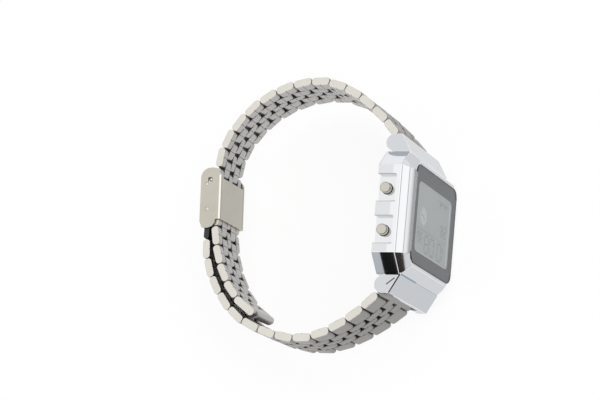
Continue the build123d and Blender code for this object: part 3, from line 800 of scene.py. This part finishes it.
# Painted shade: the side that faces out is a little darker, and the wrist side a little paler
facing = satin.node("ShaderNodeTexCoord", output="Normal")
from_middle = satin.vector_math("SUBTRACT", satin.place, LOOP_MIDDLE)
outward = satin.vector_math("DOT_PRODUCT", facing, from_middle, "Value")
outward_shade = satin.mix(outward > 2 * MM, (1.0, 1.0, 1.0, 1), (0.60, 0.595, 0.59, 1))
multiply = {"data_type": "RGBA", "blend_type": "MULTIPLY"}
whole_metal = satin.node("ShaderNodeMix", multiply, {0: 1.0, 6: pale_steel, 7: outward_shade}, output=2)
satin.surface(
    Base_Color=whole_metal, Roughness=0.30 + 0.16 * lines,
    Normal=satin.bump(lines, 0.35, 0.006 * MM),
)

side = Finish("polished_link_ends", Metallic=1.0)
side_lines = brushing(side, (0.5, 14.0, 14.0))
side_cloud = side.noise(side.place, 300.0, 3.0)
side.surface(
    Base_Color=side.mix(side_cloud, (0.55, 0.535, 0.50, 1), (0.63, 0.615, 0.58, 1)),
    Roughness=0.20 + 0.08 * side_lines, Normal=side.bump(side_lines, 0.08, 0.003 * MM),
)

# Painted shade: dark steel for the seams, the pin holes and the faces in the gaps between rows and
# links
dark = plain_finish("shadowed_seam", (0.065, 0.062, 0.058), 0.32, 500.0, 0.9, 0.02)


def link_piece():
    # The group for one piece of a link: a rounded bar with softened ends, made from its four sides.
    tree = Tree("link_piece", {
        "Start": 0.0, "End": 0.0, "Low": 0.0, "High": 0.0, "Lean": 0.0, "Thickness": LINK_THICK,
        "Round": LINK_ROUND, "Edge": LINK_EDGE, "Steps": 4.0,
    })
    start, end, low, high, lean, thickness, corner, edge, steps = tree.sizes
    length, depth = end - start, high - low
    rectangle = tree.node(
        "GeometryNodeCurvePrimitiveQuadrilateral", {"mode": "RECTANGLE"},
        {"Width": length, "Height": thickness}, "Curve",
    )
    values = {"Curve": rectangle, "Radius": corner, "Count": steps, "Limit Radius": True}
    rounded = tree.node("GeometryNodeFilletCurve", {"mode": "POLY"}, values, "Curve")
    under = tree.node("GeometryNodeFillCurve", {"mode": "NGONS"}, {"Curve": rounded}, "Mesh")
    values = {"Mesh": under, "Offset Scale": 1.0, "Individual": False}
    for share in (0.3, 0.7, 0.0, 0.7, 0.3):
        values["Offset"] = tree.vector(z=edge * share if share else depth - edge * 2.0)
        body = tree.node("GeometryNodeExtrudeMesh", {"mode": "FACES"}, values, "Mesh")
        values.update({"Mesh": body, "Selection": body.beside("Top")})
    values = {"Geometry": tree.joined(body, tree.flipped(under)), "Distance": WELD}
    closed = tree.node("GeometryNodeMergeByDistance", {}, values, "Geometry")
    # The rim of each end is drawn in along a quarter circle
    x, y, z = tree.axes(tree.node("GeometryNodeInputPosition", {}, {}, "Position"))
    near_end = tree.math("MINIMUM", tree.math("MINIMUM", z, depth - z), edge)
    climb = edge - near_end
    leg = edge * edge - climb * climb
    inset = edge - tree.math("SQRT", tree.math("MAXIMUM", leg, 0.0))
    keep = (corner - inset) / corner
    drawn_in = []
    for value, span in ((x, length), (y, thickness)):
        half = span * 0.5 - corner
        core = tree.math("MINIMUM", tree.math("MAXIMUM", value, half * -1.0), half)
        drawn_in.append(tree.math("MULTIPLY_ADD", value - core, keep, core))
    drop = (x / length + 0.5) * (z / depth) * lean
    values = {"Geometry": closed, "Position": tree.vector(*drawn_in, z - drop)}
    softened = tree.node("GeometryNodeSetPosition", {}, values, "Geometry")
    set_down = tree.moved(softened, Translation=tree.vector(x=(start + end) * 0.5, z=low))
    tree.feed(tree.end, set_down)
    return tree


piece_tree = link_piece()


def link_tree(last=False, pinned=True):
    # The tree for one link, in its own place on the band. The free end's last link ends in a bar.
    tree = Tree("last_link" if last else "link", {
        "Start Half": WIDE_HALF, "End Half": WIDE_HALF, "Wrist Side": 1.0, "Heading": 0.0,
        "Place": (0.0, 0.0, 0.0), "Tint": 0.0,
    })
    start_half, end_half, wrist, heading, pin_place, own_tint = tree.sizes

    def piece(start, end, low, high, lean=0.0, **more):
        values = {"Start": start, "End": end, "Low": low, "High": high, "Lean": lean, **more}
        return tree.node("GeometryNodeGroup", {"node_tree": piece_tree.tree}, values, "Geometry")

    def on_both_sides(geometry):
        return geometry, tree.flipped(tree.moved(geometry, Scale=(1, 1, -1)))

    def seam_cut(along):
        # A thin box across the link, which cuts the seam's slot on the wrist side.
        low, high = (along - SEAM / 2, seam_low, thin), (along + SEAM / 2, seam_high, wide)
        size = [tree.math("SUBTRACT", *ends) for ends in zip(high, low)]
        middle = [tree.math("ADD", *ends) * 0.5 for ends in zip(high, low)]
        cube = tree.node("GeometryNodeMeshCube", {}, {"Size": tree.vector(*size)}, "Mesh")
        # The slot's walls take the dark seam material: painted shade
        return tree.painted(tree.moved(cube, Translation=tree.vector(*middle)), dark)

    def tube(radius, half, along):
        values = {"Vertices": 24, "Radius": radius, "Depth": 2 * half}
        drawn = tree.node("GeometryNodeMeshCylinder", {"fill_type": "NGON"}, values, "Mesh")
        return tree.moved(drawn, Translation=(along, 0, 0))

    half_pitch = PITCH / 2
    inner_start = CENTRE_WIDTH / 2 + ROW_GAP
    inner_end = inner_start + INNER_WIDTH
    outer_start = inner_end + ROW_GAP
    piece_end = half_pitch + REACH
    outer_end = PITCH + BAR_HELD if last else piece_end + END_MORE
    lean = start_half - end_half
    outer_piece = piece(-REACH - END_MORE, outer_end, outer_start, start_half, lean)
    outer = tree.joined(*on_both_sides(outer_piece))
    rows = [piece(-REACH, piece_end, -CENTRE_WIDTH / 2, CENTRE_WIDTH / 2)]
    if not last:
        rows += on_both_sides(piece(half_pitch - REACH, PITCH + REACH, inner_start, inner_end))
    faces = tree.joined(tree.joined(*rows), outer)
    # Faces that look into the narrow gaps between rows and links get the dark seam material:
    # painted shade
    normal = tree.node("GeometryNodeInputNormal", {}, {}, "Normal")
    looks_x, looks_y, looks_z = map(tree.absolute, tree.axes(normal))
    spot = tree.node("GeometryNodeInputPosition", {}, {}, "Position")
    far = tree.absolute(tree.axes(spot)[2])
    row_edge = outer_start + ROW_SHADE
    by_row = (looks_z > ROW_FACING) * (far < row_edge)
    hidden = tree.math("MAXIMUM", looks_x > END_FACING, by_row)
    solid = tree.painted(tree.painted(faces, satin.material), dark, hidden)
    # Cuts: the seam across each piece on the wrist side, and the holes for the next link's pin
    # The walls of these cuts take the dark seam material: painted shade
    half_cut = SEAM_DEPTH / 2 + CUT_OVER
    seam_middle = wrist * (LINK_THICK / 2 - SEAM_DEPTH / 2 + CUT_OVER)
    seam_low, seam_high = seam_middle - half_cut, seam_middle + half_cut
    wide = start_half * 1.1
    thin = wide * -1.0
    first_seam = (piece_end - REACH) / 2
    cuts = [seam_cut(first_seam)]
    if not last:
        cuts.append(seam_cut(first_seam + half_pitch))
        hole = tube(PIN_RADIUS + PIN_PLAY, inner_end + ROW_GAP / 2, PITCH)
        cuts.append(tree.painted(hole, dark))
    pins = [tube(PIN_RADIUS, outer_start + ROW_GAP, half_pitch)]
    if pinned:
        pins.append(tube(PIN_RADIUS, outer_start + ROW_GAP, 0.0))
    if last:
        pins.append(piece(half_pitch - REACH, PITCH, -outer_start, outer_start))
        pins.append(piece(
            PITCH - BAR_RADIUS, PITCH + BAR_RADIUS, -outer_start - BAR_OVER, outer_start + BAR_OVER,
            Thickness=2 * BAR_RADIUS, Round=BAR_ROUND, Edge=BAR_EDGE, Steps=9.0,
        ))
    whole = tree.joined(tree.cut(solid, cuts), tree.painted(tree.joined(*pins), satin.material))
    # The brushing follows the link, so its own place is kept on the mesh in millimetres
    shift = tree.vector(x=own_tint * LAY_SHIFT)
    lay = tree.vector_math("ADD", tree.scaled(spot, 1 / MM), shift)
    for name, kind, value in (("lay", "FLOAT_VECTOR", lay), ("tint", "FLOAT", own_tint)):
        whole = tree.node(
            "GeometryNodeStoreNamedAttribute", {"data_type": kind, "domain": "POINT"},
            {"Geometry": whole, "Name": name, "Value": value}, "Geometry",
        )
    placed = tree.moved(whole, Translation=pin_place, Rotation=tree.vector(z=heading))
    # The outer ends are the satin faces that look sideways beyond the inner pieces
    is_satin = tree.node("GeometryNodeMaterialSelection", {}, {"Material": satin.material})
    beyond = (looks_y < SIDE_LEVEL) * (far > row_edge)
    return tree.finish(placed, side.material, (looks_z > SIDE_FACING) * beyond * is_satin)


def band_half(count):
    left = max(0.0, 1 - count / LINKS)
    return NARROW_HALF + (WIDE_HALF - NARROW_HALF) * left ** TAPER


def joint_place(name):
    # Where a body's hinge pin lies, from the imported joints.
    return next(Vector(joint["pos_m"]) for joint in frame["joints"] if joint["child"] == name)


def flat_direction(angle):
    return Vector((cos(angle), sin(angle), 0))


CLASP_TILT = radians(4.0)
OPEN_GAP = 0.3 * MM
LAST_HEADING = radians(234.0)
inwards = flat_direction(CLASP_TILT + pi)
after_clasp = joint_place("upper_link_17")
inside_places = [after_clasp - inwards * PITCH * count for count in (3, 2, 1)]
mouth = inside_places[0] - inwards * OPEN_GAP
tail_pins = inside_places + [joint_place(f"upper_link_{number}") for number in range(17, 22)]
tail_pins.append(tail_pins[-1] + flat_direction(LAST_HEADING) * PITCH)

runs = []
for word, end_pin, wrist in (("upper", mouth, 1.0), ("lower", joint_place("clasp_link"), -1.0)):
    names = [f"{word}_link_{number:02d}" for number in range(1, LINKS + 1)]
    pins = [*map(joint_place, names), end_pin]
    for index, name in enumerate(names):
        halves = band_half(index), band_half(index + 1)
        runs.append((name, pins[index], pins[index + 1], *halves, wrist))
for index, (pin, after) in enumerate(zip(tail_pins, tail_pins[1:])):
    name = f"upper_link_{LINKS + 1 + index}"
    runs.append((name, pin, after, NARROW_HALF, NARROW_HALF, 1.0))

plain_link = link_tree()
odd_links = {"upper_link_14": link_tree(pinned=False), "upper_link_21": link_tree(last=True)}
shuffle = Random(21)
for name, pin, after, start_half, end_half, wrist in runs:
    tree = odd_links.get(name, plain_link)
    along = after - pin
    link = grown(tree, name + "_folded", {
        "Start Half": start_half, "End Half": end_half, "Wrist Side": wrist,
        "Heading": atan2(along.y, along.x), "Place": tuple(pin), "Tint": shuffle.random(),
    })
    smooth_within(link, 38)
    flat_faces = link.modifiers.new("flat faces", "WEIGHTED_NORMAL")
    flat_faces.keep_sharp = True
    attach(link, frame["nodes"][name]["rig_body"])
    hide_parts(name)

# END LINKS
# The block at each end of the band is one solid piece, brushed like the links, that turns on the
# spring bar under the case's hood and reaches out with two fingers to the first link.
END_EDGE = 0.16 * MM
for node in ("end_link_6", "end_link_12"):
    block = round_edges(welded_copy(node, node + "_block"), END_EDGE)
    stand_for(block, node, satin.material)

# CLASP
# A sliding clasp of folded steel sheet: side walls and a brushed plate bent from one piece, a cover
# that lifts, a link to the lower half, two flush pins and a lock bar that shows in a wall's slot.
CLASP_EDGE = 0.14 * MM
FOLD_EDGE = 0.24 * MM
RIVET_EDGE = 0.08 * MM
LOCK_EDGE = 0.06 * MM
GLINT_RADII = (0.22 * MM, 0.30 * MM)
TIP_SHIFT = Vector((-0.05 * MM, -0.12 * MM, 0))
FOLD_NEAR = 0.05 * MM
sheet_steel = Finish("clasp_sheet", Metallic=1.0)
long_place = sheet_steel.drawn_out(sheet_steel.place, (300.0, 300.0, 12000.0))
sheet_lines = sheet_steel.noise(long_place, 1.0, 3.0, 0.6)
sheet_cloud = sheet_steel.noise(sheet_steel.place, 160.0, 3.0)
sheet_colour = sheet_steel.mix(sheet_cloud, (0.43, 0.408, 0.362, 1), (0.50, 0.475, 0.425, 1))
clasp_shell = welded_copy("clasp_body", "clasp_shell")

# A painted highlight runs along each fold between a side wall and the plate, with painted shade
# beside it
wristwards = Vector((-inwards.y, inwards.x, 0))
if wristwards.y > 0:
    wristwards.negate()
points = [vertex.co for vertex in clasp_shell.data.vertices]
half_width = max(point.z for point in points)
wrist_level = max(point.dot(wristwards) for point in points)
fold = [point for point in points if point.dot(wristwards) > wrist_level - FOLD_NEAR]
fold_ends = [point.dot(inwards) for point in fold]
# Each line: how far in from the wall, how far below the plate, half its width, and its colour
FOLD_HIGHLIGHT_AND_SHADE = ((0.0, 0.2, 0.3, (0.82, 0.79, 0.74)), (0.46, 0.0, 0.16, (0.27, 0.255, 0.24)))
for sign in (1, -1):
    for reach, drop, width, colour in FOLD_HIGHLIGHT_AND_SHADE:
        ends = []
        for end in (min(fold_ends), max(fold_ends)):
            spot = inwards * end + wristwards * (wrist_level - drop * MM)
            spot.z = sign * (half_width - reach * MM)
            ends.append(spot / MM)
        on_line = near_line(sheet_steel, *ends, width)
        sheet_colour = sheet_steel.mix(on_line, sheet_colour, (*colour, 1))
sheet_steel.surface(
    Base_Color=sheet_colour, Roughness=0.24 + 0.14 * sheet_lines,
    Normal=sheet_steel.bump(sheet_lines, 0.25, 0.005 * MM),
)
# The folds and edges of the clasp get a paler copy of the steel: a painted highlight
fold_highlight_steel = bright_metal("clasp_fold", (0.90, 0.87, 0.82), 0.10, 0.05)
pin_steel = bright_metal("pin_steel", (0.60, 0.58, 0.53), 0.12, 0.08)
# The link to the lower half is painted almost black: painted shade deep in the clasp
tongue_shade_steel = plain_finish("blackened_tongue", (0.05, 0.05, 0.05), 0.4, 2400.0, 0.8)

# The lock bar is painted dark as shade in its slot, with a painted highlight on the round tip it
# shows
lock_low, lock_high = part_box("lock_bar")
lock_middle = (lock_low + lock_high) / 2
lock_glint = Finish("worn_lock_tip", Metallic=1.0)
tip_place = (lock_middle.x + TIP_SHIFT.x, lock_middle.y + TIP_SHIFT.y, 0)
flat_place = lock_glint.vector_math("MULTIPLY", lock_glint.place, (1, 1, 0))
from_tip = lock_glint.vector_math("DISTANCE", flat_place, tip_place, "Value")
tip = lock_glint.smooth(from_tip, *GLINT_RADII, 1.0, 0.0)
lock_glint.surface(
    Base_Color=lock_glint.mix(tip, (0.03, 0.03, 0.03, 1), (0.85, 0.83, 0.79, 1)),
    Roughness=0.25 + 0.1 * lock_glint.noise(lock_glint.place, 2000.0, 2.0),
)
for node, name, edge, metal, edge_metal in (
    ("clasp_body", "clasp_shell", FOLD_EDGE, sheet_steel.material, fold_highlight_steel),
    ("clasp_cover", "clasp_lever", CLASP_EDGE, sheet_steel.material, fold_highlight_steel),
    ("clasp_link", "clasp_tongue", CLASP_EDGE, tongue_shade_steel, None),
    ("clasp_pins", "clasp_rivets", RIVET_EDGE, pin_steel, None),
    ("lock_bar", "lock_tab", LOCK_EDGE, lock_glint.material, None),
):
    copy = clasp_shell if node == "clasp_body" else welded_copy(node, name)
    part = round_edges(copy, edge, 3, edge_metal=edge_metal)
    stand_for(part, node, metal, edge_metal)

# LIGHT, FLOOR AND CAMERA
# A white table in a plain soft studio: a white surround that the metal mirrors as a paler front
# and a dimmer back, and one wide soft lamp above.
scene = bpy.context.scene
scene.view_settings.view_transform = "Standard"
world = bpy.data.worlds.new("studio")
scene.world = world
world.use_nodes = True
studio = Shading(world.node_tree)
SKY_HIGH = (1.27, 1.26, 1.23, 1)
SKY_FRONT = (1.36, 1.35, 1.33, 1)
SKY_BACK = (0.74, 0.77, 0.80, 1)
HORIZON = (0.050, 0.040, 0.035, 1)
ROOM = (0.62, 0.62, 0.62, 1)
WHITE = (1, 1, 1, 1)

_, depth, height = studio.axes(studio.node("ShaderNodeTexCoord", output="Generated"))


def ray_kinds(shading):
    # Whether a ray comes from the camera, from a mirror or through glass.
    path = shading.node("ShaderNodeLightPath")
    return [path.beside(f"Is {kind} Ray") for kind in ("Camera", "Glossy", "Transmission")]


# A bright panel in front, a dimmer room behind, and a dark line at the horizon that edges the metal
sky = studio.mix(studio.smooth(depth, -0.35, 0.25), SKY_FRONT, SKY_BACK)
sky = studio.mix(studio.smooth(height, 0.25, 0.65), sky, SKY_HIGH)
sky = studio.mix(studio.smooth(height, 0.05, 0.22), HORIZON, sky)
rays, in_metal, through = ray_kinds(studio)
seen = studio.mix(in_metal, ROOM, sky)
seen = studio.mix(through, seen, WHITE)
seen = studio.mix(rays, seen, WHITE)
studio.feed(world.node_tree.nodes["Background"].inputs["Color"], seen)

lamp_data = bpy.data.lights.new("soft_panel", "AREA")
lamp_data.shape = "SQUARE"
lamp_data.size = 0.9
lamp_data.energy = 2.6
lamp = bpy.data.objects.new("soft_panel", lamp_data)
lamp.location = (0.10, -0.35, 0.80)
aim = Vector((0, 0.02, 0)) - Vector(lamp.location)
lamp.rotation_euler = aim.to_track_quat("-Z", "Y").to_euler()
lamp.visible_glossy = False
scene.collection.objects.link(lamp)


def flat_piece(name, corners, material):
    # A flat four-sided thing of the studio.
    mesh = bpy.data.meshes.new(name)
    mesh.from_pydata(corners, [], [(0, 1, 2, 3)])
    mesh.materials.append(material)
    piece = bpy.data.objects.new(name, mesh)
    scene.collection.objects.link(piece)
    return piece


TABLE_HALF = 0.9
TABLE_GLOW = 1.14
GLOW_SHARE = 0.72
floor = cad_box[0].z
paper = grained("white_table", (0.80, 0.80, 0.80), (0.83, 0.83, 0.83), 300.0, 4.0, 0.8)
glow = paper.node("ShaderNodeEmission", {}, {"Color": WHITE, "Strength": TABLE_GLOW})
camera_ray, glossy_ray, glass_ray = ray_kinds(paper)
share = GLOW_SHARE * (camera_ray + glossy_ray + glass_ray)
plain_paper = Wire(paper, paper.shader.outputs[0])
lit = paper.node("ShaderNodeMixShader", {}, {0: share, 1: plain_paper, 2: glow})
paper.feed(paper.tree.nodes["Material Output"].inputs["Surface"], lit)
quarters = ((-1, -1), (1, -1), (1, 1), (-1, 1))
corners = [(sx * TABLE_HALF, sy * TABLE_HALF, floor) for sx, sy in quarters]
table = flat_piece("table", corners, paper.material)

# A small black card, in mm, which only the polished corner at the 12 o'clock end mirrors
card_corners = [(-34.6, 4.93, 15.4), (-27.4, 4.93, 22.6), (-27.4, 1.2, 22.6), (-34.6, 1.2, 15.4)]
card_black = plain_finish("black_card", (0.006, 0.006, 0.006), 0.9, 900.0)
card = flat_piece("black_card", [Vector(corner) * MM for corner in card_corners], card_black)
card.visible_camera = card.visible_diffuse = False
card.visible_shadow = card.visible_transmission = False

# The camera was fitted to the watch's outline: its three axes, and its place in mm
camera_data = bpy.data.cameras.new("camera")
camera_data.lens = 124.53
camera_data.sensor_width = 36.0
camera_data.clip_start = 0.01
camera_data.clip_end = 10.0
camera = bpy.data.objects.new("camera", camera_data)
right = Vector((0.09384983, -0.91317688, -0.39661089))
up = Vector((0.97005528, -0.00576435, 0.24281582))
back = Vector((-0.22402, -0.40752271, 0.88529107))
turn = Matrix((right, up, back)).transposed().to_4x4()
camera.matrix_world = Matrix.Translation(Vector((-109.498, -183.749, 458.040)) * MM) @ turn
scene.collection.objects.link(camera)
scene.camera = camera
